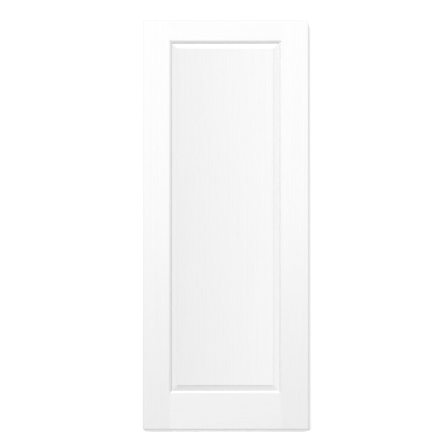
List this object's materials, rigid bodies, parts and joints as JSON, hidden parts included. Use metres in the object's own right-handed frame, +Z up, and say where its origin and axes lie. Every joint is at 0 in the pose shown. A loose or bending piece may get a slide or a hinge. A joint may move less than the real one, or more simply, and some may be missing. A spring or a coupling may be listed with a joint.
{
  "type": "bathroom door leaf",
  "caption": "Panelled white bathroom door leaf: stiles and rails tongued round a raised panel held by ovolo beads, with embossed woodgrain; hung by hinges on its edge.",
  "frame": {"origin": "foot of the hinge edge: on the flat hinge edge, at mid-thickness, level with the leaf's bottom edge", "axes": "+X across the leaf from the hinge edge to the lock edge, +Y through its thickness from the front face to the back, +Z up"},
  "size_m": [0.8, 0.035, 1.98],
  "materials": {
    "pvc_frame": "white foamed PVC, skin embossed with woodgrain",
    "pvc_panel": "white foamed PVC sheet, skin embossed with woodgrain",
    "pvc_bead": "white extruded PVC, smooth satin"
  },
  "bodies": {
    "root": {"hinge_stile": "pvc_frame", "lock_stile": "pvc_frame", "top_rail": "pvc_frame", "bottom_rail": "pvc_frame", "raised_panel": "pvc_panel", "front_bead_top": "pvc_bead", "front_bead_bottom": "pvc_bead", "front_bead_hinge_side": "pvc_bead", "front_bead_lock_side": "pvc_bead", "back_bead_top": "pvc_bead", "back_bead_bottom": "pvc_bead", "back_bead_hinge_side": "pvc_bead", "back_bead_lock_side": "pvc_bead"}
  },
  "joints": []
}
